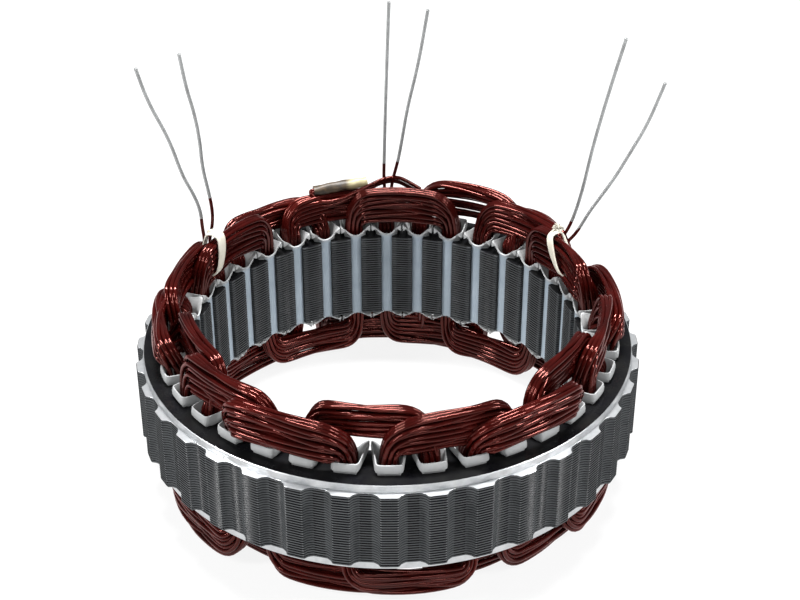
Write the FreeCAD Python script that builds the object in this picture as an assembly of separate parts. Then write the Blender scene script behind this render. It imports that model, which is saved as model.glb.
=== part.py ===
import FreeCAD, Part
import math
import os
from FreeCAD import Vector

# Wound stator of a car alternator: slotted core, slot liners, three wave-wound phases, leads and star point.
# Millimetres, +Z up. The origin is on the bore axis, in the core's lower end face. Angles are in degrees
# and run clockwise from +Y, seen from above, as the slots are counted. Slot 2 is at angle 0.

# Core: one stack of sheets, with a ribbed wall and a turned band at each end
slot_count = 36
stack_height = 24.5
bore_radius = 48.5
spigot_radius = 61.5
upper_spigot_height = 2.3
lower_spigot_height = 2.1
rib_radius = 63.5
rib_width = 3.8
groove_radius = 61.9
groove_floor_width = 3.3

# Slots: a narrow mouth between the tooth tips, shoulders, then parallel sides
slot_opening = 2.9
tooth_tip_height = 1.1
tooth_shoulder_height = 0.8
slot_width = 5.4
slot_bottom_radius = 57.6

# Slot liners: a wrapped tube of stiff paper in each slot, flared into a collar past each end face
liner_thickness = 0.35
liner_clearance = 0.08
collar_height = 3.2
collar_inner_width = 8.2
collar_outer_width = 6.4
collar_lean_in = 0.4
collar_lean_out = 0.5
scoop_width = 5.0
scoop_floor_width = 2.6
scoop_depth = 1.9

# Winding: each phase is one bundle that waves through every third slot, in its own ring of the crown
slots_per_pole = 3
winding_clearance = 0.12
crown_inner_radius = 48.6
crown_outer_radius = 60.5
crown_ring_gap = 0.25
bundle_corner = 1.1
leg_top = 0.4
bend_start = 4.2
inner_bend_radius = 0.6
bend_steps = 3
span_steps = 3
# phase: its ring counted from the bore, the slot where its first upper arc starts, its crowns' heights
phases = {
    "a": (0, 1, 14.0, 13.0),
    "b": (1, 5, 13.0, 12.8),
    "c": (2, 3, 12.8, 12.6),
}

# Leads: stiff wires that stand up, two and two, where ring b turns down into a slot
wire_diameter = 1.2
wire_sides = 10
lead_bend = 40.0
# lead: its slot, how far past the slot it stands, then where it bends and ends, from its foot
leads = {
    "lead_left_1": (32, -1.2, (-0.5, 0.0, 10.0), (-14.3, 1.0, 49.3)),
    "lead_left_2": (32, 0.3, (1.3, 0.0, 11.0), (-4.2, 1.0, 53.4)),
    "lead_middle_1": (2, -0.4, (-0.3, 0.0, 10.0), (1.3, 1.0, 55.4)),
    "lead_middle_2": (2, 1.2, (0.5, 0.0, 7.0), (9.6, 1.0, 54.7)),
    "lead_right_1": (8, -1.2, (3.4, 0.0, 11.0), (12.1, 1.0, 55.9)),
    "lead_right_2": (8, 0.3, (4.4, 0.0, 8.0), (22.3, 1.0, 45.3)),
}

# Ties: loops of flat lacing tape round rings a and b, beside the outer leads
tie_width = 2.0
tie_thickness = 0.5
tie_clearance = 0.6
tie_slack = 0.5
# tie: angles of its lower end and of its top
ties = {
    "tie_left": (-64.6, -57.0),
    "tie_right": (65.0, 56.3),
}

# Star point: the joined inner ends of the phases, under a sleeve that lies on the crown
sleeve_angle = -13.5
sleeve_length = 15.0
sleeve_diameter = 2.9
sleeve_wall = 0.3
splice_clearance = 0.1
splice_overhang = 1.6
seat_gap = 0.1

slot_pitch = 360.0 / slot_count
pole_pairs = slot_count // (2 * slots_per_pole)
slot_floor_radius = bore_radius + tooth_tip_height


def slot_angle(number):
    return (number - 2) * slot_pitch


def radial(angle):
    return Vector(math.sin(math.radians(angle)), math.cos(math.radians(angle)), 0)


def tangent(angle):
    return radial(angle + 90)


def turned(shape, angle):
    """A copy of shape turned clockwise about the bore axis."""
    copy = shape.copy()
    copy.rotate(Vector(0, 0, 0), Vector(0, 0, 1), -angle)
    return copy


def ring_of_points(outline, angle, z, tilt=0):
    """Corners of a section given as (across, radius) pairs; tilt leans its plane from level to upright."""
    lean = math.radians(tilt)
    across = Vector(0, 0, math.sin(lean)) - tangent(angle) * math.cos(lean)
    return [radial(angle) * r + across * a + Vector(0, 0, z) for a, r in outline]


def facet(*corners):
    return Part.Face(Part.makePolygon([*corners, corners[0]]))


def skin(rings):
    """Flat faces from each ring of points to the next, a pair of triangles where four points are twisted."""
    faces = []
    for low, high in zip(rings, rings[1:]):
        for i in range(len(low)):
            a, b, c, d = low[i - 1], low[i], high[i], high[i - 1]
            flat = abs((b - a).cross(d - a).dot(c - a)) < 1e-7
            faces += [facet(a, b, c, d)] if flat else [facet(a, b, c), facet(a, c, d)]
    return faces


def solid_of(faces):
    shell = Part.makeShell(faces)
    shell.sewShape()
    return Part.makeSolid(shell)


def bar(rings):
    """A solid through the rings, closed at both ends."""
    return solid_of(skin(rings) + [facet(*rings[0]), facet(*rings[-1])])


def loop(rings):
    """A solid through the rings and back into the first one."""
    return solid_of(skin(rings + rings[:1]))


def inset(outline, gap):
    """A convex outline with every edge moved inwards by gap."""
    moved = []
    for i, (x, y) in enumerate(outline):
        (x0, y0), (x1, y1) = outline[i - 1], outline[(i + 1) % len(outline)]
        before, after = math.hypot(x - x0, y - y0), math.hypot(x1 - x, y1 - y)
        n0 = ((y0 - y) / before, (x - x0) / before)
        n1 = ((y - y1) / after, (x1 - x) / after)
        reach = gap / (1 + n0[0] * n1[0] + n0[1] * n1[1])
        moved.append((x + reach * (n0[0] + n1[0]), y + reach * (n0[1] + n1[1])))
    return moved


def slot_cavity():
    """The room behind the tooth tips, as (across, radius) pairs."""
    half, mouth = slot_width / 2, slot_opening / 2
    shoulder = slot_floor_radius + tooth_shoulder_height
    return [(-mouth, slot_floor_radius), (mouth, slot_floor_radius), (half, shoulder),
            (half, slot_bottom_radius), (-half, slot_bottom_radius), (-half, shoulder)]


def chord(angle, radius, width):
    """Both ends of a flat that faces outwards."""
    return [radial(angle) * radius + tangent(angle) * x for x in (-width / 2, width / 2)]


def ribbed_wall(z_low, z_high):
    """The outer wall between the bands: a flat rib behind each slot and a hollow behind each tooth."""
    corners = []
    for number in range(slot_count):
        corners += chord(number * slot_pitch, rib_radius, rib_width)
        corners += chord((number + 0.5) * slot_pitch, groove_radius, groove_floor_width)
    wall = facet(*corners)
    wall.translate(Vector(0, 0, z_low))
    return wall.extrude(Vector(0, 0, z_high - z_low))


def lamination_stack():
    band = Part.makeCylinder(spigot_radius, stack_height)
    body = band.fuse(ribbed_wall(lower_spigot_height, stack_height - upper_spigot_height))
    mouth = slot_opening / 2
    slot = [(-mouth, bore_radius / 2), (mouth, bore_radius / 2), *slot_cavity()[1:], slot_cavity()[0]]
    cutter = facet(*ring_of_points(slot, 0, -1)).extrude(Vector(0, 0, stack_height + 2))
    slots = [turned(cutter, slot_angle(n)) for n in range(1, slot_count + 1)]
    bore = Part.makeCylinder(bore_radius, stack_height + 2, Vector(0, 0, -1))
    return body.cut([bore, *slots]).removeSplitter()


def collar_outline():
    """Rim of a liner's collar, wide beside the tooth tips and narrower over the yoke."""
    inner, outer = collar_inner_width / 2, collar_outer_width / 2
    r_in = slot_floor_radius - collar_lean_in
    r_out = slot_bottom_radius + collar_lean_out
    wing = tooth_shoulder_height
    return [(wing - inner, r_in), (inner - wing, r_in), (inner, r_in + wing),
            (outer, r_out), (-outer, r_out), (-inner, r_in + wing)]


def liner_skin(gap):
    """The liner's outer form, shrunk by gap."""
    cavity, rim = inset(slot_cavity(), liner_clearance + gap), inset(collar_outline(), gap)
    top = stack_height + collar_height
    return bar([ring_of_points(rim, 0, -collar_height), ring_of_points(cavity, 0, 0),
                ring_of_points(cavity, 0, stack_height), ring_of_points(rim, 0, top)])


def scoop(z_rim, z_floor):
    """The dip in a collar's wall on the bore side."""
    top, floor = scoop_width / 2, scoop_floor_width / 2
    dip = facet(*[Vector(x, bore_radius, z)
                  for x, z in ((-top, z_rim), (-floor, z_floor), (floor, z_floor), (top, z_rim))])
    depth = slot_floor_radius + 2 * liner_thickness - bore_radius
    return dip.extrude(Vector(0, depth, 0))


def slot_liner():
    tube = liner_skin(0).cut(liner_skin(liner_thickness))
    top, bottom = stack_height + collar_height, -collar_height
    return tube.cut([scoop(top, top - scoop_depth), scoop(bottom, bottom + scoop_depth)])


def crown_ring(ring):
    """Inner and outer radius of a ring of the crown."""
    depth = (crown_outer_radius - crown_inner_radius - 2 * crown_ring_gap) / 3
    r_in = crown_inner_radius + ring * (depth + crown_ring_gap)
    return r_in, r_in + depth


def bundle(width, r_in, r_out):
    """Outline of a bundle with a crest along both edges."""
    half, flat, middle = width / 2, width / 2 - bundle_corner, (r_in + r_out) / 2
    return [(-flat, r_in), (flat, r_in), (half, middle), (flat, r_out), (-flat, r_out), (-half, middle)]


def rise_stations(ring, crown_height):
    """From a slot to the level part of its arc: angle past the slot, height over the face, tilt, outline."""
    r_in, r_out = crown_ring(ring)
    leg = inset(slot_cavity(), liner_clearance + liner_thickness + winding_clearance)
    leg_width = 2 * leg[2][0]
    wall = liner_thickness + winding_clearance
    inner_limit = slot_floor_radius - collar_lean_in + wall
    outer_limit = slot_bottom_radius + collar_lean_out - wall
    shift = max(0, inner_limit - r_in) - max(0, r_out - outer_limit)
    throat = bundle(leg_width, r_in + shift, r_out + shift)
    stations = [(0, leg_top, 0, leg), (0, collar_height + winding_clearance, 0, throat)]

    full_width = crown_height - bend_start - inner_bend_radius
    bend_radius = inner_bend_radius + full_width / 2
    for step in range(bend_steps + 1):
        tilt = 90 * step / bend_steps
        along = bend_radius * (1 - math.cos(math.radians(tilt)))
        height = bend_start + bend_radius * math.sin(math.radians(tilt))
        width = leg_width + (full_width - leg_width) * (1 + 3 * step / bend_steps) / 4
        angle = math.degrees(2 * along / (r_in + r_out))
        stations.append((angle, height, tilt, bundle(width, r_in, r_out)))
    return stations


def arc_stations(ring, crown_height):
    """A whole arc over one pole: the rise, level sections and the fall."""
    span = slots_per_pole * slot_pitch
    rise = rise_stations(ring, crown_height)
    angle, height, tilt, outline = rise[-1]
    level = [(angle + (span - 2 * angle) * step / span_steps, height, tilt, outline)
             for step in range(1, span_steps)]
    fall = [(span - angle, height, 180 - tilt, outline) for angle, height, tilt, outline in rise]
    return rise + level + fall[::-1]


def phase_winding(ring, first_slot, upper_height, lower_height):
    """One bundle, closed on itself: up a slot, over a pole, down a slot and under the next pole."""
    span = slots_per_pole * slot_pitch
    rings = []
    for pair in range(pole_pairs):
        start = slot_angle(first_slot) + 2 * span * pair
        for angle, height, tilt, outline in arc_stations(ring, upper_height):
            rings.append(ring_of_points(outline, start + angle, stack_height + height, tilt))
        for angle, height, tilt, outline in arc_stations(ring, lower_height):
            rings.append(ring_of_points(outline, start + span + angle, -height, 180 - tilt))
    return loop(rings)


def crest_height(along):
    """Height over the face of ring b's crest, at a distance past the slot where its arc turns down."""
    ring, _, crown_height, _ = phases["b"]
    middle = sum(crown_ring(ring)) / 2
    crest = []
    for angle, height, tilt, outline in rise_stations(ring, crown_height)[2:]:
        half, lean = outline[2][0], math.radians(tilt)
        crest.append((half * math.cos(lean) - math.radians(angle) * middle, height + half * math.sin(lean)))
    for (far, low), (near, high) in zip(crest, crest[1:]):
        if near <= along <= far:
            return low + (high - low) * (far - along) / (far - near)
    return crest[-1][1]


def lead(slot, along, bend, tip):
    """A wire that stands on ring b, bends once and ends bare."""
    angle = slot_angle(slot)
    foot = radial(angle) * (sum(crown_ring(phases["b"][0])) / 2) + tangent(angle) * along
    foot.z = stack_height + crest_height(along - wire_diameter / 2) + seat_gap
    corner, end = foot + Vector(*bend), foot + Vector(*tip)
    run, last_run = corner - foot, end - corner
    turn, hinge = run.getAngle(last_run), run.cross(last_run).normalize()
    cut = lead_bend * math.tan(turn / 2)
    bend_from = run * (1 - cut / run.Length)
    pivot = foot + bend_from + hinge.cross(run).normalize() * lead_bend

    side = Vector(0, 1, 0).cross(run).normalize() * (wire_diameter / 2)
    disc = [foot + FreeCAD.Rotation(run, 360 * i / wire_sides).multVec(side) for i in range(wire_sides)]
    rings = [disc]
    for step in range(bend_steps + 1):
        swing = FreeCAD.Rotation(hinge, math.degrees(turn) * step / bend_steps)
        rings.append([pivot + swing.multVec(point + bend_from - pivot) for point in disc])
    rings.append([point + last_run * (1 - cut / last_run.Length) for point in rings[-1]])
    return bar(rings)


def tie(foot, top):
    """A closed loop of tape: out under rings a and b, up behind them, back over and down the bore side."""
    inner, outer = crown_ring(0)[0] - tie_clearance, crown_ring(1)[1] + tie_slack
    under = stack_height + bend_start + inner_bend_radius - tie_clearance
    over = stack_height + max(phases["a"][2], phases["b"][2]) + tie_clearance
    points = [radial(angle) * r + Vector(0, 0, z)
              for r, angle, z in ((inner, foot, under), (outer, foot, under),
                                  (outer, top, over), (inner, top, over))]
    middle = sum(points, Vector()) * (1 / len(points))
    rings = []
    for i, point in enumerate(points):
        ahead = (points[(i + 1) % len(points)] - point).normalize()
        back = (points[i - 1] - point).normalize()
        across = (ahead - back).cross(point - middle).normalize() * (tie_width / 2)
        out = across.cross(ahead - back).normalize() * (tie_thickness / math.sin(ahead.getAngle(back) / 2))
        rings.append([point + across, point + across + out, point - across + out, point - across])
    return loop(rings)


def star_point():
    """The sleeve and, inside it, the soldered splice, level on top of ring b."""
    axis = tangent(sleeve_angle)
    middle = radial(sleeve_angle) * (sum(crown_ring(phases["b"][0])) / 2)
    middle.z = stack_height + phases["b"][2] + seat_gap + sleeve_diameter / 2
    start = middle - axis * (sleeve_length / 2)
    bore = sleeve_diameter / 2 - sleeve_wall
    sleeve = Part.makeCylinder(sleeve_diameter / 2, sleeve_length, start, axis)
    sleeve = sleeve.cut(Part.makeCylinder(bore, sleeve_length, start, axis))
    splice = Part.makeCylinder(bore - splice_clearance, sleeve_length, start - axis * splice_overhang, axis)
    return sleeve, splice


def parts():
    """Every node's name and shape."""
    yield "lamination_stack", lamination_stack()
    liner = slot_liner()
    for number in range(1, slot_count + 1):
        yield f"slot_liner_{number:02d}", turned(liner, slot_angle(number))
    for phase, sizes in phases.items():
        yield f"phase_{phase}_winding", phase_winding(*sizes)
    for name, sizes in leads.items():
        yield name, lead(*sizes)
    for name, sizes in ties.items():
        yield name, tie(*sizes)
    sleeve, splice = star_point()
    yield "star_point_sleeve", sleeve
    yield "star_point_splice", splice


os.makedirs("parts", exist_ok=True)
for name, shape in parts():
    shape.exportStep(f"parts/{name}.step")
    print(name, "valid" if shape.isValid() else "NOT VALID", round(shape.Volume, 1), "mm3")
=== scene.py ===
import math
import random

import bpy
from mathutils import Matrix, Vector


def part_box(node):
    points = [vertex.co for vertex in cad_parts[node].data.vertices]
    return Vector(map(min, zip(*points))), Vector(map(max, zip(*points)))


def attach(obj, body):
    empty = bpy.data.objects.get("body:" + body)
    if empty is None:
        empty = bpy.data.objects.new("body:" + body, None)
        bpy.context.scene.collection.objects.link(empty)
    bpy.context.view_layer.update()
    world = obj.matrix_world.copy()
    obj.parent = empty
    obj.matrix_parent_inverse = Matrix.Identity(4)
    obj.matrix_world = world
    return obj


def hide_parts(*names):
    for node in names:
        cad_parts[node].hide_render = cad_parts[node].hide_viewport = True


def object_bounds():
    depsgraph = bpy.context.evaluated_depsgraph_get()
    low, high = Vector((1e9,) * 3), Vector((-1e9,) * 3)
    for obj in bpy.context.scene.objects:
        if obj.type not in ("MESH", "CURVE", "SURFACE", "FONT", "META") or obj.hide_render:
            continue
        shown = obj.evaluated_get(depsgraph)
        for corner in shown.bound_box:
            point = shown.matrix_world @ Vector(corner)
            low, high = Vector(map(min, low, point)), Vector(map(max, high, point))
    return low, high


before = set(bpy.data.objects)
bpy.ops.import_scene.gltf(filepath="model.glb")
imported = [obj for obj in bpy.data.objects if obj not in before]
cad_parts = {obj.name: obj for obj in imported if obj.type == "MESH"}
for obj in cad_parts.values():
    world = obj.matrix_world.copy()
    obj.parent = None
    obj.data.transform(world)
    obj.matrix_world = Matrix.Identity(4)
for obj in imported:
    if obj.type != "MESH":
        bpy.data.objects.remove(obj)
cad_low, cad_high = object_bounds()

# A wound alternator stator. Lengths are in metres; MM turns millimetres into metres.
# Angles are degrees clockwise from +Y, seen from above, as the slots are counted.
MM = 0.001
rng = random.Random(36)

# Core
SLOTS = 36
PITCH = 360 / SLOTS
STACK_HEIGHT = 24.5 * MM
SHEETS = 34
SHEET = STACK_HEIGHT / SHEETS
BAND_SHEETS = 3
BAND_HEIGHT = BAND_SHEETS * SHEET
BAND_CHAMFER = 0.22 * MM
BORE_RADIUS = 48.5 * MM
SPIGOT_RADIUS = 61.5 * MM
JOINT_DEPTH = 0.2 * MM
EDGE_ROUND = 0.2 * MM

# A rib and the hollow beside it: their radius and half their width
RIB = (63.5 * MM, 1.9 * MM)
HOLLOW = (61.9 * MM, 1.65 * MM)

# A slot: half its mouth and half its room, and the radii where the room starts, is full and ends
MOUTH, ROOM = 1.45 * MM, 2.7 * MM
ROOM_FLOOR, SHOULDER, ROOM_TOP = 49.6 * MM, 50.4 * MM, 57.6 * MM

# Liners
PAPER_THICKNESS = 0.38 * MM
COLLAR = 3.2 * MM
COLLAR_SKEW = 0.16 * MM

# Winding: three rings of bundles, the slot of each one's first arc, and where its wires lie in a slot
SPAN = 3
WIRE = 1.15 * MM
WIRES = 21
LEVELS = 7
RINGS = {"a": (48.7 * MM, 52.2 * MM), "b": (52.7 * MM, 56.4 * MM), "c": (56.8 * MM, 60.6 * MM)}
FIRST_SLOT = {"a": 1, "b": 5, "c": 3}
LEG_SHARE = {"a": 0.42, "b": 0.5, "c": 0.6}
LEG_INNER, LEG_DEPTH = 51.0 * MM, 5.5 * MM
LEG_WIDTH = 1.75 * MM
LEG_TOP = 2.2 * MM

# Leads, tape and sleeve
LEAD_WIRE = 0.95 * MM
LEAD_FOOT_RADIUS = 54.5 * MM
TAPE_THICKNESS = 0.42 * MM
SLEEVE_LENGTH, SLEEVE_RADIUS, SLEEVE_WALL = 15.0 * MM, 1.45 * MM, 0.3 * MM
SLEEVE_ANGLE, SLEEVE_TILT, SLEEVE_HEIGHT = -13.5, 0.07, 13.9 * MM

MERGE = 0.004 * MM


def slot_angle(number):
    return (number - 2) * PITCH


def polar(radius, degrees, z):
    turn = math.radians(degrees)
    return Vector((radius * math.sin(turn), radius * math.cos(turn), z))


def select_only(*objects):
    bpy.ops.object.select_all(action="DESELECT")
    for item in objects:
        item.select_set(True)
    bpy.context.view_layer.objects.active = objects[0]


# ---------------------------------------------------------------- nodes

def node(tree, kind, **settings):
    made = tree.nodes.new(kind)
    for key, value in settings.items():
        if key in made.bl_rna.properties:
            setattr(made, key, value)
        else:
            made.inputs[key].default_value = value
    return made


def plug(tree, value, socket):
    """Joins an output to a socket, or sets the socket to a plain value."""
    if isinstance(value, bpy.types.NodeSocket):
        tree.links.new(value, socket)
    else:
        socket.default_value = value


def arithmetic(tree, operation, *values):
    made = node(tree, "ShaderNodeMath", operation=operation)
    for value, socket in zip(values, made.inputs):
        plug(tree, value, socket)
    return made.outputs[0]


def fade(tree, value, start, end, least=0.0, most=1.0, curve="LINEAR"):
    """Runs from least, where value is start, to most, where it is end."""
    made = node(tree, "ShaderNodeMapRange", interpolation_type=curve)
    given = {"Value": value, "From Min": start, "From Max": end, "To Min": least, "To Max": most}
    for label, amount in given.items():
        plug(tree, amount, made.inputs[label])
    return made.outputs["Result"]


MIX_SOCKETS = {"RGBA": (6, 7, 2), "FLOAT": (2, 3, 0)}


def mixed(tree, share, first, second, kind="RGBA", **settings):
    """Two colours or two numbers, mixed by share."""
    made = node(tree, "ShaderNodeMix", data_type=kind, **settings)
    first_socket, second_socket, result = MIX_SOCKETS[kind]
    plug(tree, share, made.inputs["Factor"])
    plug(tree, first, made.inputs[first_socket])
    plug(tree, second, made.inputs[second_socket])
    return made.outputs[result]


def object_place(tree):
    return node(tree, "ShaderNodeTexCoord").outputs["Object"]


def place_parts(tree):
    split = node(tree, "ShaderNodeSeparateXYZ")
    plug(tree, object_place(tree), split.inputs[0])
    return split.outputs


def bore_distance(tree):
    """Distance from the bore axis."""
    flat = node(tree, "ShaderNodeVectorMath", operation="MULTIPLY")
    flat.inputs[1].default_value = (1, 1, 0)
    plug(tree, object_place(tree), flat.inputs[0])
    length = node(tree, "ShaderNodeVectorMath", operation="LENGTH")
    plug(tree, flat.outputs[0], length.inputs[0])
    return length.outputs["Value"]


def off_mid_height(tree, parts):
    """Distance above or below the middle of the core."""
    return arithmetic(tree, "ABSOLUTE", arithmetic(tree, "SUBTRACT", parts["Z"], STACK_HEIGHT / 2))


def new_group(name, inputs, outputs):
    group = bpy.data.node_groups.new(name, "ShaderNodeTree")
    for label, kind, value in inputs:
        group.interface.new_socket(label, in_out="INPUT", socket_type=kind).default_value = value
    for label, kind in outputs:
        group.interface.new_socket(label, in_out="OUTPUT", socket_type=kind)
    return group, group.nodes.new("NodeGroupInput").outputs, group.nodes.new("NodeGroupOutput").inputs


def mottle_group():
    """Slow and fine variation of a colour, and of the gloss with it."""
    group, given, result = new_group(
        "mottle",
        [("Base", "NodeSocketColor", (0.5, 0.5, 0.5, 1)), ("Stain", "NodeSocketColor", (0.3, 0.3, 0.3, 1)),
         ("Scale", "NodeSocketFloat", 120.0), ("Amount", "NodeSocketFloat", 0.5),
         ("Gloss Low", "NodeSocketFloat", 0.3), ("Gloss High", "NodeSocketFloat", 0.5)],
        [("Color", "NodeSocketColor"), ("Roughness", "NodeSocketFloat"), ("Height", "NodeSocketFloat")])
    texture = node(group, "ShaderNodeTexNoise", Detail=5.0, Roughness=0.62)
    plug(group, object_place(group), texture.inputs["Vector"])
    plug(group, given["Scale"], texture.inputs["Scale"])
    noise = texture.outputs["Fac"]
    stained = arithmetic(group, "MULTIPLY", fade(group, noise, 0.35, 0.7), given["Amount"])
    plug(group, mixed(group, stained, given["Base"], given["Stain"]), result["Color"])
    plug(group, fade(group, noise, 0.0, 1.0, given["Gloss Low"], given["Gloss High"]), result["Roughness"])
    plug(group, noise, result["Height"])
    return group


def sheet_lines_group():
    """Edges of stacked sheets: a height that dips at each joint, and a mask of the joints."""
    group, given, result = new_group(
        "sheet edges",
        [("Sheet", "NodeSocketFloat", SHEET), ("Joint", "NodeSocketFloat", 0.26)],
        [("Height", "NodeSocketFloat"), ("Joints", "NodeSocketFloat")])
    count = arithmetic(group, "DIVIDE", place_parts(group)["Z"], given["Sheet"])
    from_joint = arithmetic(group, "PINGPONG", count, 0.5)
    height = fade(group, from_joint, 0.0, given["Joint"], curve="SMOOTHSTEP")
    plug(group, height, result["Height"])
    plug(group, arithmetic(group, "SUBTRACT", 1.0, height), result["Joints"])
    return group


MOTTLE = mottle_group()
SHEET_LINES = sheet_lines_group()


def placed(tree, group, **values):
    made = tree.nodes.new("ShaderNodeGroup")
    made.node_tree = group
    for key, value in values.items():
        made.inputs[key.replace("_", " ").title()].default_value = value
    return made.outputs


def new_material(name, specular=0.5, **sockets):
    material = bpy.data.materials.new(name)
    material.use_nodes = True
    shader = material.node_tree.nodes["Principled BSDF"]
    shader.inputs["Specular IOR Level"].default_value = specular
    for key, value in sockets.items():
        shader.inputs[key.replace("_", " ").title()].default_value = value
    return material, material.node_tree, shader


def bump(tree, shader, height, strength, distance):
    made = node(tree, "ShaderNodeBump", Strength=strength, Distance=distance)
    plug(tree, height, made.inputs["Height"])
    plug(tree, made.outputs["Normal"], shader.inputs["Normal"])


def mottled(tree, shader, **values):
    """Colour and gloss of a mottled surface."""
    tone = placed(tree, MOTTLE, **values)
    plug(tree, tone["Color"], shader.inputs["Base Color"])
    plug(tree, tone["Roughness"], shader.inputs["Roughness"])


def fine_grain(tree, shader, scale, strength, distance):
    bump(tree, shader, placed(tree, MOTTLE, scale=scale)["Height"], strength, distance)


# ---------------------------------------------------------------- materials

def enamel_material():
    material, tree, shader = new_material("winding enamel", specular=0.6, metallic=0.3)
    shader.inputs["Specular Tint"].default_value = (1.0, 0.42, 0.36, 1)
    mottled(tree, shader, base=(0.042, 0.0032, 0.0024, 1), stain=(0.009, 0.0007, 0.0006, 1), scale=90.0,
            amount=0.9, gloss_low=0.08, gloss_high=0.13)
    fine_grain(tree, shader, 260.0, 0.03, 0.1 * MM)
    return material


def paper_material():
    """Slot paper, cooler in tone where it closes a slot's mouth."""
    material, tree, shader = new_material("liner paper", specular=0.3, sheen_weight=0.05)
    tone = placed(tree, MOTTLE, base=(0.30, 0.305, 0.305, 1), stain=(0.21, 0.215, 0.22, 1), scale=160.0,
                  amount=0.6, gloss_low=0.40, gloss_high=0.6)
    in_mouth = fade(tree, bore_distance(tree), 50.2 * MM, 49.6 * MM, curve="SMOOTHSTEP")
    in_core = fade(tree, off_mid_height(tree, place_parts(tree)), STACK_HEIGHT / 2 + 1.2 * MM,
                   STACK_HEIGHT / 2 - 0.6 * MM, curve="SMOOTHSTEP")
    cool = arithmetic(tree, "MULTIPLY", in_mouth, in_core)
    tinted = mixed(tree, cool, tone["Color"], (0.78, 0.92, 1.06, 1), blend_type="MULTIPLY")
    plug(tree, tinted, shader.inputs["Base Color"])
    plug(tree, tone["Roughness"], shader.inputs["Roughness"])
    fine_grain(tree, shader, 2500.0, 0.25, 0.03 * MM)
    return material


def painted_rib_highlight(tree, parts, radius):
    """Mask of a painted highlight along the corners of the ribs, broken into patches."""
    angle = arithmetic(tree, "ARCTAN2", parts["X"], parts["Y"])
    off_rib = arithmetic(tree, "PINGPONG", angle, math.radians(PITCH / 2))
    at_corner = arithmetic(tree, "COMPARE", off_rib, math.radians(1.76), math.radians(0.10))
    proud = arithmetic(tree, "GREATER_THAN", radius, 62.9 * MM)
    patches = fade(tree, placed(tree, MOTTLE, scale=150.0)["Height"], 0.35, 0.65, most=0.7)
    return arithmetic(tree, "MULTIPLY", arithmetic(tree, "MULTIPLY", at_corner, proud), patches)


def core_material():
    """Dark sheet edges and end faces, and bare metal on the turned bands and the ledges beside them."""
    material, tree, shader = new_material("core sheets", specular=0.07)
    parts, radius = place_parts(tree), bore_distance(tree)
    facing = node(tree, "ShaderNodeSeparateXYZ")
    plug(tree, node(tree, "ShaderNodeNewGeometry").outputs["Normal"], facing.inputs[0])
    level = arithmetic(tree, "GREATER_THAN", arithmetic(tree, "ABSOLUTE", facing.outputs["Z"]), 0.7)
    outside = arithmetic(tree, "GREATER_THAN", radius, SPIGOT_RADIUS - 0.12 * MM)
    in_band = arithmetic(tree, "GREATER_THAN", off_mid_height(tree, parts),
                         STACK_HEIGHT / 2 - BAND_HEIGHT - 0.05 * MM)
    bare = arithmetic(tree, "MULTIPLY", outside, in_band)

    lines = placed(tree, SHEET_LINES)
    wall = placed(tree, MOTTLE, base=(0.054, 0.057, 0.059, 1), stain=(0.030, 0.032, 0.034, 1), scale=260.0,
                  amount=0.5, gloss_low=0.80, gloss_high=0.90)
    face = placed(tree, MOTTLE, base=(0.004, 0.004, 0.005, 1), stain=(0.010, 0.010, 0.009, 1), scale=220.0,
                  amount=0.6, gloss_low=0.12, gloss_high=0.30)
    steel = placed(tree, MOTTLE, base=(0.58, 0.59, 0.60, 1), stain=(0.32, 0.33, 0.34, 1), scale=420.0,
                   amount=0.5, gloss_low=0.34, gloss_high=0.42)
    # a lighter colour painted on the rib corners stands in for their highlight
    highlit_wall = mixed(tree, painted_rib_highlight(tree, parts, radius), wall["Color"], (0.16, 0.165, 0.17, 1))
    edges = mixed(tree, lines["Joints"], highlit_wall, (0.002, 0.002, 0.003, 1))
    dark = mixed(tree, level, edges, face["Color"])
    plug(tree, mixed(tree, bare, dark, steel["Color"]), shader.inputs["Base Color"])
    gloss = mixed(tree, level, wall["Roughness"], face["Roughness"], kind="FLOAT")
    plug(tree, mixed(tree, bare, gloss, steel["Roughness"], kind="FLOAT"), shader.inputs["Roughness"])
    plug(tree, bare, shader.inputs["Metallic"])
    ridges = arithmetic(tree, "MULTIPLY", lines["Height"], arithmetic(tree, "SUBTRACT", 1.0, level))
    bump(tree, shader, ridges, 0.35, 0.08 * MM)
    return material


def tinned_material():
    material, tree, shader = new_material("lead wire", metallic=0.7)
    mottled(tree, shader, base=(0.36, 0.37, 0.37, 1), stain=(0.20, 0.20, 0.20, 1), scale=300.0,
            amount=0.7, gloss_low=0.3, gloss_high=0.5)
    fine_grain(tree, shader, 1500.0, 0.3, 0.05 * MM)
    return material


def tape_material():
    material, tree, shader = new_material("lacing tape")
    mottled(tree, shader, base=(0.46, 0.44, 0.38, 1), stain=(0.34, 0.31, 0.24, 1), scale=400.0,
            amount=0.6, gloss_low=0.6, gloss_high=0.8)
    fine_grain(tree, shader, 3000.0, 0.5, 0.08 * MM)
    return material


def sleeve_material():
    """Varnish-soaked glass sleeve, left dry and pale at its open end."""
    material, tree, shader = new_material("varnished sleeve")
    wet = placed(tree, MOTTLE, base=(0.060, 0.038, 0.018, 1), stain=(0.002, 0.0015, 0.001, 1), scale=520.0,
                 amount=1.0, gloss_low=0.4, gloss_high=0.6)
    dry = placed(tree, MOTTLE, base=(0.36, 0.32, 0.19, 1), stain=(0.22, 0.18, 0.08, 1), scale=300.0,
                 amount=0.7, gloss_low=0.3, gloss_high=0.5)
    dryness = fade(tree, place_parts(tree)["X"], -11.5 * MM, -9.0 * MM, curve="SMOOTHSTEP")
    plug(tree, mixed(tree, dryness, wet["Color"], dry["Color"]), shader.inputs["Base Color"])
    plug(tree, wet["Roughness"], shader.inputs["Roughness"])
    bump(tree, shader, wet["Height"], 0.6, 0.15 * MM)
    return material


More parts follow.
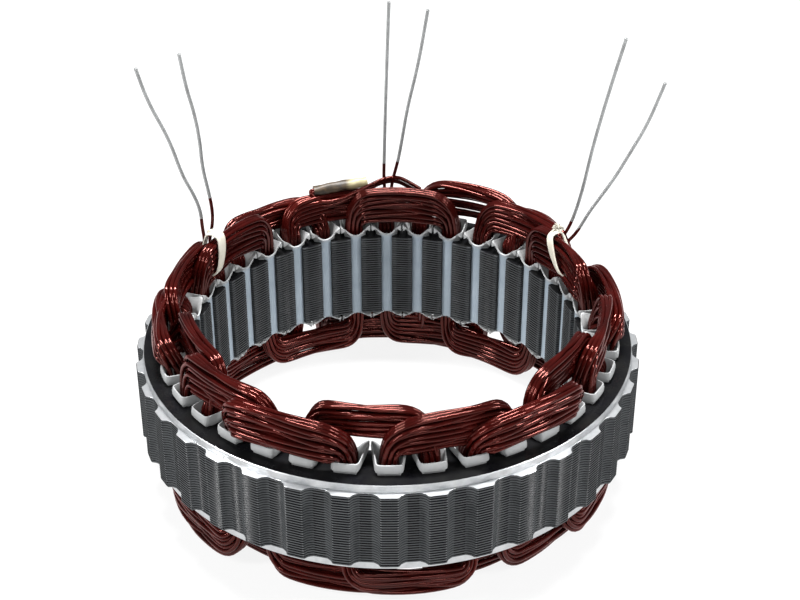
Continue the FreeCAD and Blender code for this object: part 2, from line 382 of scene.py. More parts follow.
ENAMEL = enamel_material()
PAPER = paper_material()
CORE = core_material()
TINNED = tinned_material()
TAPE = tape_material()
SLEEVE = sleeve_material()


# ---------------------------------------------------------------- helpers for pieces

def finish_piece(piece, slot, *nodes):
    """Rides on the one body and stands for its nodes, whose parts it hides."""
    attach(piece, "root")
    if nodes:
        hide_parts(*nodes)


def apply_modifiers(piece):
    select_only(piece)
    for modifier in list(piece.modifiers):
        bpy.ops.object.modifier_apply(modifier=modifier.name)


def rolled_grid(name, columns, rows):
    """A flat grid of columns by rows faces, to be rolled up, with its first and last edge on each other."""
    bpy.ops.object.select_all(action="DESELECT")
    bpy.ops.mesh.primitive_grid_add(x_subdivisions=columns, y_subdivisions=rows, size=1)
    sheet = bpy.context.object
    sheet.name = name
    return sheet


def close_seam(sheet):
    select_only(sheet)
    bpy.ops.object.mode_set(mode="EDIT")
    bpy.ops.mesh.select_all(action="SELECT")
    bpy.ops.mesh.remove_doubles(threshold=MERGE)
    bpy.ops.mesh.normals_make_consistent(inside=False)
    bpy.ops.object.mode_set(mode="OBJECT")


def thicken(sheet, thickness, offset):
    wall = sheet.modifiers.new("wall", "SOLIDIFY")
    wall.thickness = thickness
    wall.offset = offset
    return wall


def turned_copy(piece, name, degrees):
    """A copy with its own mesh, turned clockwise about the bore axis."""
    mesh = piece.data.copy()
    mesh.transform(Matrix.Rotation(-math.radians(degrees), 4, "Z"))
    made = bpy.data.objects.new(name, mesh)
    bpy.context.scene.collection.objects.link(made)
    return made


def wire_curve(name, routes, thickness, smooth=2, cyclic=False):
    """Round wires along routes, as one mesh. A route's points may carry their own thickness share."""
    curve = bpy.data.curves.new(name, "CURVE")
    curve.dimensions = "3D"
    curve.bevel_depth = thickness / 2
    curve.bevel_resolution = 2
    curve.resolution_u = smooth
    curve.use_fill_caps = not cyclic
    for route in routes:
        spline = curve.splines.new("NURBS")
        spline.points.add(len(route) - 1)
        for point, place in zip(spline.points, route):
            point.co = (place[0], place[1], place[2], 1)
            point.radius = place[3] if len(place) > 3 else 1.0
        spline.order_u = 3
        spline.use_cyclic_u = cyclic
        spline.use_endpoint_u = not cyclic
    wires = bpy.data.objects.new(name, curve)
    bpy.context.scene.collection.objects.link(wires)
    select_only(wires)
    bpy.ops.object.convert(target="MESH")
    wires = bpy.context.view_layer.objects.active
    bpy.ops.object.shade_smooth()
    return wires


# ---------------------------------------------------------------- laminated core

def wall_profile():
    """Outline of one pitch of the outer wall, as (across, out): a rib, its flanks and a hollow's floor."""
    (rib_out, rib_half), (floor_out, floor_half) = RIB, HOLLOW
    half_pitch = math.radians(PITCH / 2)
    floor = Vector((floor_out * math.sin(half_pitch), floor_out * math.cos(half_pitch)))
    foot = floor + floor_half * Vector((-math.cos(half_pitch), math.sin(half_pitch)))
    shoulder = Vector((rib_half, rib_out))
    rounding = Vector((rib_half + 0.25 * MM, rib_out - 0.12 * MM))
    upper_flank = shoulder.lerp(foot, 0.45) - Vector((0.05, 0.22)) * MM
    lower_flank = shoulder.lerp(foot, 0.8) - Vector((0.0, 0.12)) * MM
    side = [Vector((rib_half - 0.2 * MM, rib_out)), rounding, upper_flank, lower_flank, foot]
    return [Vector((-v.x, v.y)) for v in reversed(side)] + [Vector((0, rib_out))] + side + [floor]


def slot_profile():
    """Outline of one slot from the bore side, clockwise."""
    half = [Vector((ROOM, ROOM_TOP)), Vector((ROOM, SHOULDER)), Vector((MOUTH, ROOM_FLOOR)),
            Vector((MOUTH, BORE_RADIUS + 0.14 * MM)), Vector((MOUTH + 0.22 * MM, BORE_RADIUS))]
    return [Vector((-v.x, v.y)) for v in reversed(half)] + half


def around(outline_of_pitch):
    """The outline repeated for every slot, as points in the plane."""
    places = []
    for number in range(SLOTS):
        turn = -math.radians(slot_angle(number + 1))
        for across, out in outline_of_pitch:
            places.append((across * math.cos(turn) - out * math.sin(turn),
                           across * math.sin(turn) + out * math.cos(turn)))
    return places


def outline_ring(name, places, z):
    """A circle primitive whose vertices are moved to the outline."""
    bpy.ops.object.select_all(action="DESELECT")
    bpy.ops.mesh.primitive_circle_add(vertices=len(places), radius=BORE_RADIUS, location=(0, 0, 0))
    ring = bpy.context.object
    ring.name = name
    for vertex, (x, y) in zip(ring.data.vertices, places):
        vertex.co = (x, y, z)
    return ring


def extrude_ring(rise, grow=1.0):
    bpy.ops.mesh.extrude_region_move(TRANSFORM_OT_translate={"value": (0, 0, rise)})
    if grow != 1.0:
        bpy.ops.transform.resize(value=(grow, grow, 1), center_override=(0, 0, 0))


def sheet_stack(name, places, z_low, z_high, count, outwards):
    """One sheet's edge, with its rounded corners, repeated up the stack. outwards is +1 or -1."""
    pitch = (z_high - z_low) / count
    radius = SPIGOT_RADIUS if outwards > 0 else BORE_RADIUS
    proud = 1 + outwards * JOINT_DEPTH / radius
    ring = outline_ring(name, [(x / proud, y / proud) for x, y in places], z_low)
    select_only(ring)
    bpy.ops.object.mode_set(mode="EDIT")
    bpy.ops.mesh.select_all(action="SELECT")
    extrude_ring(EDGE_ROUND, proud)
    extrude_ring(pitch - 2 * EDGE_ROUND)
    extrude_ring(EDGE_ROUND, 1 / proud)
    bpy.ops.object.mode_set(mode="OBJECT")
    repeat = ring.modifiers.new("sheets", "ARRAY")
    repeat.count = count
    repeat.use_relative_offset = False
    repeat.use_constant_offset = True
    repeat.constant_offset_displace = (0, 0, pitch)
    repeat.use_merge_vertices = True
    repeat.merge_threshold = 0.01 * MM
    apply_modifiers(ring)
    return ring


def select_rim(mesh, z, near=0.02 * MM):
    bpy.ops.mesh.select_all(action="DESELECT")
    bpy.ops.object.mode_set(mode="OBJECT")
    for edge in mesh.edges:
        edge.select = all(abs(mesh.vertices[v].co.z - z) < near for v in edge.vertices)
    bpy.ops.object.mode_set(mode="EDIT")


def turn_band(wall, z, way):
    """In along the ledge to the band, along the band, and over its chamfer to the end face's edge."""
    select_only(wall)
    bpy.ops.object.mode_set(mode="EDIT")
    select_rim(wall.data, z)
    extrude_ring(0)
    bpy.ops.object.mode_set(mode="OBJECT")
    for vertex in wall.data.vertices:
        if vertex.select:
            flat = Vector((vertex.co.x, vertex.co.y))
            flat *= SPIGOT_RADIUS / flat.length
            vertex.co = (flat.x, flat.y, z)
    bpy.ops.object.mode_set(mode="EDIT")
    extrude_ring(way * (BAND_HEIGHT - BAND_CHAMFER))
    extrude_ring(way * BAND_CHAMFER, 1 - BAND_CHAMFER / SPIGOT_RADIUS)
    bpy.ops.object.mode_set(mode="OBJECT")


def laminated_core():
    wall_low, wall_high = BAND_HEIGHT, (SHEETS - BAND_SHEETS) * SHEET
    wall = sheet_stack("core", around(wall_profile()), wall_low, wall_high, SHEETS - 2 * BAND_SHEETS, 1)
    teeth = sheet_stack("core_teeth", around(slot_profile()), 0, STACK_HEIGHT, SHEETS, -1)
    turn_band(wall, wall_high, 1)
    turn_band(wall, wall_low, -1)
    select_only(wall, teeth)
    bpy.ops.object.join()
    core = bpy.context.view_layer.objects.active
    core.name = "laminated_core"
    bpy.ops.object.mode_set(mode="EDIT")
    for z in (STACK_HEIGHT, 0):
        select_rim(core.data, z)
        bpy.ops.mesh.fill(use_beauty=True)
    bpy.ops.mesh.select_all(action="SELECT")
    bpy.ops.mesh.normals_make_consistent(inside=False)
    bpy.ops.object.mode_set(mode="OBJECT")
    bpy.ops.object.shade_smooth_by_angle(angle=math.radians(28))
    core.data.materials.append(CORE)
    finish_piece(core, "core_steel", "lamination_stack")


# ---------------------------------------------------------------- slot liners

# Half of a liner's rim, from the middle of the mouth to the middle of the slot's bottom, as
# (across, out, height over the core, share of the folded cuff), in millimetres
LINER_RIM = [
    (0.0, 49.55, 0.7, 0), (0.75, 49.5, 0.85, 0), (1.5, 49.4, 1.35, 0), (2.2, 49.3, 2.1, 0),
    (2.9, 49.25, 2.8, 0.15), (3.55, 49.3, 3.2, 0.55), (4.0, 49.6, 3.45, 0.85), (4.05, 50.3, 3.4, 0.9),
    (3.75, 51.6, 3.2, 1), (3.4, 53.4, 3.0, 1), (3.15, 55.2, 2.95, 1), (3.05, 56.6, 2.9, 1),
    (2.85, 57.4, 2.9, 1), (2.4, 57.8, 2.9, 1), (1.3, 57.85, 2.85, 1), (0.0, 57.85, 2.85, 1),
]
# How far the collar is open at each of its rows, and how far the cuff hangs back at each of its own
FLARE = (0.0, 0.12, 0.3, 0.5, 0.7, 0.87, 1.0)
CUFF_DROPS = (0.15 * MM, 1.1 * MM, 2.05 * MM)
RIM_MIDDLE = 53.5 * MM


def slot_places():
    """The rim's places inside the slot: over its mouth, up the shoulder, along the wall, over the bottom."""
    room, mouth, lip = ROOM - 0.1 * MM, MOUTH - 0.08 * MM, 0.36 * MM
    floor, shoulder, top = ROOM_FLOOR + 0.1 * MM, SHOULDER + 0.05 * MM, ROOM_TOP - 0.1 * MM
    places = [(0, floor), (mouth * 0.5, floor + 0.03 * MM), (mouth * 0.85, floor + 0.16 * MM)]
    places.append((mouth, floor + lip))
    for share in (0.25, 0.5, 0.75):
        places.append((mouth + (room - mouth) * share, floor + lip + (shoulder - floor) * share))
    places += [(room, shoulder + lip + (top - shoulder - lip) * i / 6) for i in range(6)]
    return places + [(room * share, top) for share in (0.85, 0.45, 0.0)]


def liner_places():
    """All the way round the liner: (slot x, slot y, rim x, rim y, rim height, cuff share)."""
    half = [(x, y, rim_x * MM, rim_y * MM, rim_z * MM, cuff)
            for (x, y), (rim_x, rim_y, rim_z, cuff) in zip(slot_places(), LINER_RIM)]
    return half + [(-x, y, -rim_x, rim_y, rim_z, cuff) for x, y, rim_x, rim_y, rim_z, cuff in half[-2:0:-1]]


def collar_place(place, step):
    """Where a liner's paper is, step rows out from the core's face: first the collar, then the cuff."""
    x, y, rim_x, rim_y, rim_z, cuff = place
    if step < len(FLARE):
        share = FLARE[step]
        opened = share ** 1.7
        return x + (rim_x - x) * opened, y + (rim_y - y) * opened, rim_z * share
    row = step - len(FLARE)
    fold = (row + 1) / len(CUFF_DROPS)
    out = Vector((rim_x, rim_y - RIM_MIDDLE)).normalized() * PAPER_THICKNESS * 1.35
    reach = min(1, fold * 1.6) * cuff
    height = rim_z - cuff * CUFF_DROPS[row] + (0.12 * MM * cuff if row == 0 else 0)
    return rim_x + out.x * reach - (rim_x - x) * 0.22 * fold * cuff, rim_y + out.y * reach, height


def slot_liner():
    """One sheet of paper, wrapped into the slot, opened into collars and folded back into cuffs."""
    places = liner_places()
    half_rows = len(FLARE) + len(CUFF_DROPS)
    sheet = rolled_grid("liner", len(places), 2 * half_rows - 1)
    columns = len(places) + 1
    for vertex in sheet.data.vertices:
        column, row = vertex.index % columns, vertex.index // columns
        place = places[column % len(places)]
        upper = row >= half_rows
        x, y, height = collar_place(place, row - half_rows if upper else half_rows - 1 - row)
        lower_share = 0.55 if place[3] < 50 * MM else 0.9
        vertex.co = (x, y, STACK_HEIGHT + height if upper else -height * lower_share)
    close_seam(sheet)
    thicken(sheet, PAPER_THICKNESS, -1).use_even_offset = False
    apply_modifiers(sheet)
    bpy.ops.object.shade_smooth_by_angle(angle=math.radians(50))
    sheet.data.materials.append(PAPER)
    return sheet


def skew_collars(liner, number):
    """Leans each collar a little sideways, in its own way."""
    angle = math.radians(slot_angle(number))
    for vertex in liner.data.vertices:
        z = vertex.co.z
        past = max(z - STACK_HEIGHT, -z, 0) / COLLAR
        if past > 0.3:
            bend = math.sin(number * 7.3 + (2.1 if z > 0 else 0)) * COLLAR_SKEW * past
            vertex.co.x += bend * math.cos(angle)
            vertex.co.y -= bend * math.sin(angle)


def slot_liners():
    first = slot_liner()
    for number in range(1, SLOTS + 1):
        liner = turned_copy(first, f"liner_{number:02d}", slot_angle(number))
        skew_collars(liner, number)
        finish_piece(liner, "liner_paper", f"slot_liner_{number:02d}")
    bpy.data.objects.remove(first)


# ---------------------------------------------------------------- winding

# Each upper arc of a phase, in turn: its lowest and highest height over the face, how far its two bends
# reach along the ring, and how far its top leans in, in millimetres
UPPER = {
    "a": [(4.4, 14.0, 5.5, 7.0, 0), (3.4, 14.0, 6.0, 5.0, 0), (4.4, 13.4, 5.5, 8.0, 0),
          (5.0, 13.6, 8.0, 5.0, 0), (4.4, 14.6, 5.0, 5.5, 0), (4.4, 14.0, 5.5, 6.0, 0)],
    "b": [(4.0, 13.2, 6.0, 6.0, 0), (3.2, 12.8, 5.0, 6.0, 0), (3.8, 13.6, 5.0, 13.0, 0),
          (3.8, 14.6, 6.0, 6.0, 0), (3.8, 13.2, 6.0, 6.0, 0), (3.8, 12.2, 7.0, 6.5, 0)],
    "c": [(3.8, 13.6, 8.0, 11.0, 0.5), (3.0, 10.8, 9.0, 6.0, 1.6), (3.6, 12.4, 6.0, 12.0, 0),
          (3.6, 13.4, 11.0, 6.0, 0), (3.6, 10.6, 6.0, 10.0, 1.8), (3.0, 11.0, 7.0, 9.0, 1.4)],
}
# The same for the lower arcs, each of which starts where an upper one ends
LOWER = {
    "a": [(4.0, 12.8, 6.0, 6.5, 0)] * 5 + [(4.0, 12.0, 6.5, 6.0, 0)],
    "b": [(3.8, 12.8, 6.5, 6.0, 0)] * 5 + [(3.8, 13.8, 6.0, 6.0, 0)],
    "c": [(3.6, 12.8, 7.0, 6.0, 0), (3.6, 11.6, 16.0, 6.0, 1.2), (3.6, 10.4, 7.0, 8.0, 1.2),
          (3.6, 12.2, 6.0, 16.0, 1.2), (3.6, 12.8, 7.0, 6.0, 0), (3.6, 13.6, 6.0, 6.0, 1.5)],
}
ENTER_LOOSENESS, LEAVE_LOOSENESS = 0.05, 0.13


def bundle_places(count):
    """Places of the wires in a bundle, as (depth, level) shares from 0 to 1: seven levels on each side,
    and a middle column that fills the gaps between them."""
    places = []
    top = LEVELS - 1
    for row in range(LEVELS):
        shift = 0.0 if row % 2 else 0.08
        places += [(shift, row / top), (1.0 - shift, row / top), (0.5, min(1.0, (row + 0.5) / top))]
    return places[:count]


def shuffled_by_level(places, looseness):
    return sorted(places, key=lambda place: place[1] + rng.uniform(-looseness, looseness))


def loose(amount):
    return rng.uniform(-amount, amount) * MM


def arc_end(place, ring, sizes, reach, jitter):
    """One wire from its slot up to its level in the arc, as (along, height, radius)."""
    low, high, lean = sizes
    depth, level_share = place
    r_in, r_out = RINGS[ring][0] + WIRE / 2, RINGS[ring][1] - WIRE / 2
    radius = r_in + (r_out - r_in) * depth - lean * (0.5 + 0.5 * level_share)
    level = low + WIRE / 2 + (high - low - WIRE) * level_share
    row = round(level_share * (LEVELS - 1))
    spread = LEG_SHARE[ring] + 0.9 * (0.6 * depth + 0.4 * (row % 2) - 0.5)
    leg_radius = LEG_INNER + LEG_DEPTH * min(1, max(0, spread))
    across = (1 - 2 * level_share) * LEG_WIDTH
    bend = LEG_TOP + (reach + loose(0.4) - LEG_TOP) * level_share
    half = [(across, height, leg_radius) for height in (-1.0 * MM, 1.2 * MM, LEG_TOP)]
    base = 2.4 * MM + 0.14 * (level - 2.4 * MM)
    steps = 4
    for step in range(1, steps + 1):
        swing = math.pi / 2 * step / steps
        share = 0.95 * (1 - (1 - step / steps) ** 2)
        half.append((across + bend * (1 - math.cos(swing)), base + (level - base) * math.sin(swing),
                     leg_radius + (radius - leg_radius) * share
                     + jitter * math.sin(math.pi * step / (steps + 1))))
    return half


def arc_route(enter, leave, ring, start, sizes, side):
    """One wire over one pole: up out of a slot, over, along, and down into the slot three on.
    side is +1 over the upper face and -1 under the lower one."""
    low, high, reach_in, reach_out, lean = (size * MM for size in sizes)
    face = STACK_HEIGHT if side > 0 else 0.0
    middle = sum(RINGS[ring]) / 2
    sway = loose(0.15)
    jitter_in = loose(0.15)
    rise = [(math.degrees(along / middle), height, radius)
            for along, height, radius in arc_end(enter, ring, (low, high, lean), reach_in, jitter_in)]
    jitter_out = loose(0.15)
    fall = [(SPAN * PITCH - math.degrees(along / middle), height, radius)
            for along, height, radius in arc_end(leave, ring, (low, high, lean), reach_out, jitter_out)]
    fall.reverse()
    (angle_0, height_0, radius_0), (angle_1, height_1, radius_1) = rise[-1], fall[0]
    run = []
    for share in (0.25, 0.5, 0.75):
        arch = math.sin(math.pi * share)
        run.append((angle_0 + (angle_1 - angle_0) * share,
                    height_0 + (height_1 - height_0) * share + (sway + 0.2 * MM) * arch,
                    radius_0 + (radius_1 - radius_0) * share + loose(0.1) * arch))
    return [polar(radius, start + angle, face + side * height)
            for angle, height, radius in rise + run + fall]


def wind_phase(phase):
    routes = [[] for _ in range(WIRES)]
    places = bundle_places(WIRES)
    for pair in range(SLOTS // (2 * SPAN)):
        for side, sizes in ((1, UPPER[phase][pair]), (-1, LOWER[phase][pair])):
            start = slot_angle(FIRST_SLOT[phase]) + PITCH * SPAN * (2 * pair + (side < 0))
            enter = shuffled_by_level(places, ENTER_LOOSENESS)
            leave = shuffled_by_level(places, LEAVE_LOOSENESS)
            for route, first, last in zip(routes, enter, leave):
                route += arc_route(first, last, phase, start, sizes, side)
    wires = wire_curve(f"phase_{phase}_wires", routes, WIRE, cyclic=True)
    wires.data.materials.append(ENAMEL)
    finish_piece(wires, "winding_enamel", f"phase_{phase}_winding")


# The first of two single wires that stand off the crown, as (radius, angle, height, how far the second
# lies under it)
LOOSE_TURN = [(57.0, 37.5, 10.6, 0.9), (57.0, 41.0, 12.0, 0.54), (56.9, 46.0, 12.7, 0.54),
              (56.5, 51.0, 12.6, 0.54), (55.8, 56.5, 11.6, 0.9)]


def loose_turns():
    routes = []
    for k in range(2):
        routes.append([polar((radius + 0.9 * k) * MM, angle, STACK_HEIGHT + (height - drop * k) * MM)
                       for radius, angle, height, drop in LOOSE_TURN])
    wires = wire_curve("loose_turns", routes, WIRE, smooth=5)
    wires.data.materials.append(ENAMEL)
    finish_piece(wires, "winding_enamel")


# ---------------------------------------------------------------- leads

# Each lead: the slot whose bundle it leaves, how far past it, where its tin starts, and its bends, as
# (sideways, outwards, up) from its foot in millimetres
LEADS = {
    "lead_left_1": (32, -1.2, 7.5, [
        (-0.5, 0.0, 4.6), (-0.6, 0.0, 9.1), (-2.0, 0.2, 13.9), (-4.7, 0.3, 19.5), (-7.3, 0.5, 29.9),
        (-11.9, 0.8, 40.0), (-14.3, 1.0, 49.3)]),
    "lead_left_2": (32, 0.3, 13.0, [
        (1.3, 0.0, 5.0), (1.6, 0.0, 9.4), (0.9, 0.2, 15.1), (-0.3, 0.3, 21.8), (-0.5, 0.5, 30.2),
        (-1.5, 0.7, 37.8), (-2.9, 0.8, 43.7), (-4.2, 1.0, 53.4)]),
    "lead_middle_1": (2, -0.4, 9.0, [
        (-0.3, 0.0, 4.0), (-0.2, 0.0, 9.0), (0.2, 0.4, 23.6), (0.7, 0.7, 38.2), (1.3, 1.0, 55.4)]),
    "lead_middle_2": (2, 1.2, 11.0, [
        (0.3, 0.0, 4.1), (2.0, 0.1, 10.6), (3.1, 0.2, 17.0), (4.6, 0.4, 26.9), (7.5, 0.7, 39.4),
        (9.9, 1.0, 54.7)]),
    "lead_right_1": (8, -1.2, 4.8, [
        (2.2, 0.0, 4.5), (4.3, 0.1, 13.2), (6.2, 0.4, 25.4), (7.9, 0.6, 33.9), (10.0, 0.8, 43.6),
        (12.9, 1.0, 55.9)]),
    "lead_right_2": (8, 0.3, 4.0, [
        (2.5, 0.0, 2.4), (5.6, 0.0, 9.0), (8.2, 0.2, 13.1), (11.9, 0.3, 19.3), (14.8, 0.5, 25.3),
        (19.0, 0.8, 33.8), (22.6, 1.0, 45.3)]),
}
# A lead's root, under its foot, as (inwards along the bundle, down) in millimetres
LEAD_ROOT = ((5.0, 3.4), (2.4, 1.6), (0.0, 0.3))


def stiff_leads():
    for name, (slot, along, tin, bends) in LEADS.items():
        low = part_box(name)[0]
        angle = slot_angle(slot)
        foot = polar(LEAD_FOOT_RADIUS, angle, low.z) + polar(along * MM, angle + 90, 0)
        inward = polar(1, angle - 90 if along < 0 else angle + 90, 0)
        route = [foot + inward * past * MM - Vector((0, 0, down * MM)) for past, down in LEAD_ROOT]
        route += [foot + Vector(bend) * MM for bend in bends]
        before, tip = route[-2], route[-1]
        # the cut end: a slight burr, then the rounded tip
        beads = [(*place, 1.0) for place in route[:-1]]
        beads += [(*tip.lerp(before, 0.03), 1.0), (*tip.lerp(before, 0.015), 1.08), (*tip, 0.8)]
        wire = wire_curve(name + "_wire", [beads], LEAD_WIRE, smooth=6)
        wire.data.materials.append(TINNED)
        wire.data.materials.append(ENAMEL)
        for face in wire.data.polygons:
            face.material_index = 1 if face.center.z < foot.z + tin * MM else 0
        finish_piece(wire, "tinned_wire", name)


# ---------------------------------------------------------------- lacing ties

def ribbon(name, centres, outs, width, thickness):
    """A closed flat tape through the centres, with rounded edges."""
    count = len(centres)
    tape = rolled_grid(name, count, 2)
    columns = count + 1
    for vertex in tape.data.vertices:
        column, row = vertex.index % columns, vertex.index // columns
        i = column % count
        ahead = (centres[(i + 1) % count] - centres[i - 1]).normalized()
        across = ahead.cross(outs[i]).normalized()
        vertex.co = centres[i] + across * width * (row - 1) / 2
    close_seam(tape)
    smooth = tape.modifiers.new("smooth", "SUBSURF")
    smooth.levels = smooth.render_levels = 1
    thicken(tape, thickness, 0)
    edge = tape.modifiers.new("edge", "BEVEL")
    edge.width = thickness * 0.3
    edge.segments = 2
    edge.limit_method = "ANGLE"
    edge.angle_limit = math.radians(50)
    apply_modifiers(tape)
    bpy.ops.object.shade_smooth_by_angle(angle=math.radians(50))
    tape.data.materials.append(TAPE)
    return tape


def tie_loop(name, foot, top, width, back, rise=0.0):
    """Tape round rings a and b: from under them, up the bore side, over and down behind. foot and top are
    the angles of its lower and upper run, back is its outer radius and rise lifts its crossing."""
    corners = [
        (48.3, foot, 6.2), (48.0, foot + (top - foot) * 0.35, 8.4), (48.1, foot + (top - foot) * 0.7, 11.4),
        (48.5, top, 14.2 + rise), (49.6, top, 15.2 + rise), (51.2, top, 15.4 + rise),
        (back - 1.2, top, 15.0 + rise), (back, top, 13.6 + rise), (back + 0.2, (foot + top) / 2, 9.6),
        (back, foot, 6.6), (back - 1, foot, 5.8), (50.0, foot, 5.6),
    ]
    centres = [polar(radius * MM, angle, STACK_HEIGHT + z * MM) for radius, angle, z in corners]
    outs = [polar(radius * MM, angle, z * MM) - polar(52.6 * MM, angle, 9.3 * MM)
            for radius, angle, z in corners]
    return ribbon(name, centres, [out.normalized() for out in outs], width, TAPE_THICKNESS)


def knot(name, place, size, turns, strands):
    """A small overhand knot with frayed ends."""
    routes = []
    for _ in range(turns):
        tilt = rng.uniform(0, math.pi)
        ring = []
        for step in range(8):
            swing = 2 * math.pi * step / 8
            circle = Vector((math.cos(swing) * size, math.sin(swing) * math.cos(tilt) * size * 0.7,
                             math.sin(swing) * math.sin(tilt) * size * 0.7))
            ring.append(place + circle + Vector([rng.uniform(-0.1, 0.1) * size for _ in range(3)]))
        routes.append(ring + ring[:1])
    sag = Vector((0, 0, -0.2 * MM))
    for _ in range(strands):
        way = Vector((rng.uniform(-1, 1), rng.uniform(-0.6, 0.2), rng.uniform(-0.2, 1))).normalized()
        routes.append([(*place, 1.0), (*(place + way * size), 0.5),
                       (*(place + way * size * 1.8 + sag), 0.25)])
    made = wire_curve(name, routes, 0.8 * MM, smooth=4)
    made.data.materials.append(TAPE)
    finish_piece(made, "lacing_tape")


def lacing_ties():
    finish_piece(tie_loop("tie_left_tape", -65.4, -61.7, 2.1 * MM, 53.4, 1.1), "lacing_tape", "tie_left")
    finish_piece(tie_loop("tie_left_second_turn", -66.7444, -63.3444, 1.2 * MM, 53.4, 0.9), "lacing_tape")
    finish_piece(tie_loop("tie_right_tape", 68.5, 60.8, 2.0 * MM, 53.2), "lacing_tape", "tie_right")
    knot("tie_right_knot", polar(51.6 * MM, 60.4, STACK_HEIGHT + 15.9 * MM), 1.1 * MM, 3, 12)
    knot("tie_left_knot", polar(52.2 * MM, -61.8, STACK_HEIGHT + 16.0 * MM), 0.7 * MM, 2, 5)


# ---------------------------------------------------------------- star point

# The phase ends beyond the sleeve, as (radius, angle, height over the core) in millimetres and degrees
STAR_ENDS = [(53.2, -20.1, 10.3), (52.2, -14.4, 10.9), (52.2, -9.2, 12.8), (53.0, -4.5, 14.4),
             (54.0, -0.6, 15.7), (54.8, 3.5, 15.8), (55.4, 6.9, 13.7), (55.8, 9.7, 11.8)]
SLEEVE_COLUMNS, SLEEVE_ROWS = 20, 24


def sleeve_tube(centre, axis, out, up):
    """A sleeve with a lumpy wall, its ends a little squashed."""
    sleeve = rolled_grid("star_point_sleeve_tube", SLEEVE_COLUMNS, SLEEVE_ROWS)
    for vertex in sleeve.data.vertices:
        column, row = vertex.index % (SLEEVE_COLUMNS + 1), vertex.index // (SLEEVE_COLUMNS + 1)
        turn, share = 2 * math.pi * column / SLEEVE_COLUMNS, row / SLEEVE_ROWS
        lump = 1 + 0.05 * math.sin(turn * 3 + share * 9) + 0.04 * math.sin(share * 23 + turn)
        squash = 1 - 0.12 * (share < 0.12 or share > 0.9)
        vertex.co = (centre + axis * SLEEVE_LENGTH * (share - 0.5)
                     + out * math.cos(turn) * SLEEVE_RADIUS * lump
                     + up * math.sin(turn) * SLEEVE_RADIUS * lump * squash)
    close_seam(sleeve)
    thicken(sleeve, SLEEVE_WALL, -1)
    apply_modifiers(sleeve)
    bpy.ops.object.shade_smooth_by_angle(angle=math.radians(50))
    sleeve.data.materials.append(SLEEVE)
    finish_piece(sleeve, "sleeve_varnish", "star_point_sleeve")


def star_point():
    """The sleeve over the splice, and the phase ends that enter it."""
    low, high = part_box("star_point_sleeve")
    middle = (low + high) / 2
    centre = Vector((middle.x, middle.y, STACK_HEIGHT + SLEEVE_HEIGHT))
    axis = (polar(1, SLEEVE_ANGLE + 90, 0) + Vector((0, 0, SLEEVE_TILT))).normalized()
    out = polar(1, SLEEVE_ANGLE, 0)
    up = axis.cross(out).normalized()
    sleeve_tube(centre, axis, out, up)

    left = centre - axis * SLEEVE_LENGTH / 2
    ends = []
    for k in range(2):
        mouth = left + out * (k - 0.5) * MM
        end = [mouth + axis * 4 * MM, mouth, mouth - axis * 1.2 * MM - Vector((0, 0, 0.3 * MM))]
        end += [polar((radius + 0.4 * k) * MM, angle - k * 0.6, STACK_HEIGHT + (z - 1.35 * k) * MM)
                for radius, angle, z in STAR_ENDS]
        ends.append(end)
    wires = wire_curve("star_point_ends", ends, WIRE, smooth=5)
    wires.data.materials.append(ENAMEL)
    finish_piece(wires, "winding_enamel", "star_point_splice")


laminated_core()
slot_liners()
for phase in RINGS:
    wind_phase(phase)
stiff_leads()
lacing_ties()
star_point()
loose_turns()


# ---------------------------------------------------------------- stage, camera and lamps

FLOOR_SIZE = 6
CAMERA_LENS, CAMERA_SENSOR = 74.66, 36
CAMERA_PLACE = (-1.17 * MM, -351.58 * MM, 256.23 * MM)
CAMERA_DOWN, CAMERA_TURN = 32.234, -0.698

# Each lamp: its place, its size and its power
SOFTBOXES = {
    "softbox_top": ((0.0, 0.15, 0.9), (0.50, 0.10), 26.0),
    "softbox_left": ((-0.75, -0.25, 0.55), (0.07, 0.40), 8.0),
    "softbox_right": ((0.75, -0.25, 0.55), (0.07, 0.40), 6.5),
    "softbox_front": ((0.0, -0.8, 0.6), (0.40, 0.06), 2.5),
}


def seen_white(tree):
    """1 for rays that look straight at the backdrop, by themselves, mirrored or through something."""
    rays = node(tree, "ShaderNodeLightPath").outputs
    most = rays["Is Camera Ray"]
    for way in ("Is Glossy Ray", "Is Transmission Ray"):
        most = arithmetic(tree, "MAXIMUM", most, rays[way])
    return most


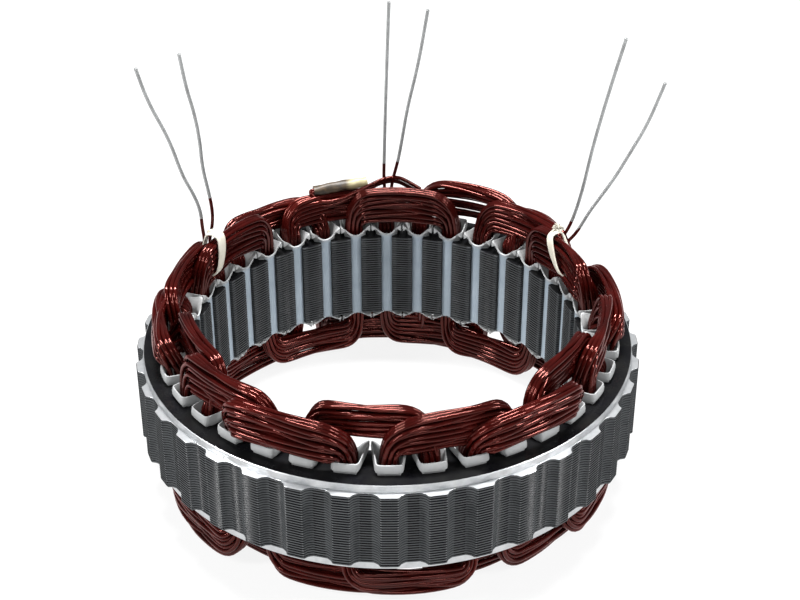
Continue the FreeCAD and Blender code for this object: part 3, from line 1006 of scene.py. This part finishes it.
def pale_floor():
    bpy.ops.object.select_all(action="DESELECT")
    low = min(cad_low.z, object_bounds()[0].z)
    bpy.ops.mesh.primitive_plane_add(size=FLOOR_SIZE, location=(0, 0, low - 0.1 * MM))
    floor = bpy.context.object
    floor.name = "floor"
    material, tree, shader = new_material("pale floor", roughness=0.8)
    shader.inputs["Base Color"].default_value = (0.80, 0.80, 0.80, 1)
    shine = node(tree, "ShaderNodeEmission", Color=(1, 1, 1, 1), Strength=1.0)
    mix = node(tree, "ShaderNodeMixShader")
    plug(tree, arithmetic(tree, "MULTIPLY", seen_white(tree), 0.86), mix.inputs[0])
    plug(tree, shader.outputs[0], mix.inputs[1])
    plug(tree, shine.outputs[0], mix.inputs[2])
    plug(tree, mix.outputs[0], tree.nodes["Material Output"].inputs["Surface"])
    floor.data.materials.append(material)


def soft_world():
    world = bpy.data.worlds.new("studio")
    bpy.context.scene.world = world
    world.use_nodes = True
    room = world.node_tree.nodes["Background"]
    room.inputs["Color"].default_value = (0.92, 0.96, 1.0, 1)
    room.inputs["Strength"].default_value = 0.22


def lamp(name, place, size, power):
    """A rectangular lamp that faces the object."""
    data = bpy.data.lights.new(name, "AREA")
    data.shape = "RECTANGLE"
    data.size, data.size_y = size
    data.energy = power
    made = bpy.data.objects.new(name, data)
    bpy.context.scene.collection.objects.link(made)
    made.location = place
    made.rotation_euler = (-Vector(place)).to_track_quat("-Z", "Y").to_euler()


def camera():
    data = bpy.data.cameras.new("camera")
    data.lens = CAMERA_LENS
    data.sensor_width = CAMERA_SENSOR
    data.clip_start, data.clip_end = 0.01, 20
    made = bpy.data.objects.new("camera", data)
    bpy.context.scene.collection.objects.link(made)
    made.location = CAMERA_PLACE
    made.rotation_euler = (math.radians(90 - CAMERA_DOWN), 0, math.radians(CAMERA_TURN))
    bpy.context.scene.camera = made


pale_floor()
soft_world()
for name, (place, size, power) in SOFTBOXES.items():
    lamp(name, place, size, power)
camera()
bpy.context.scene.view_settings.view_transform = "Standard"
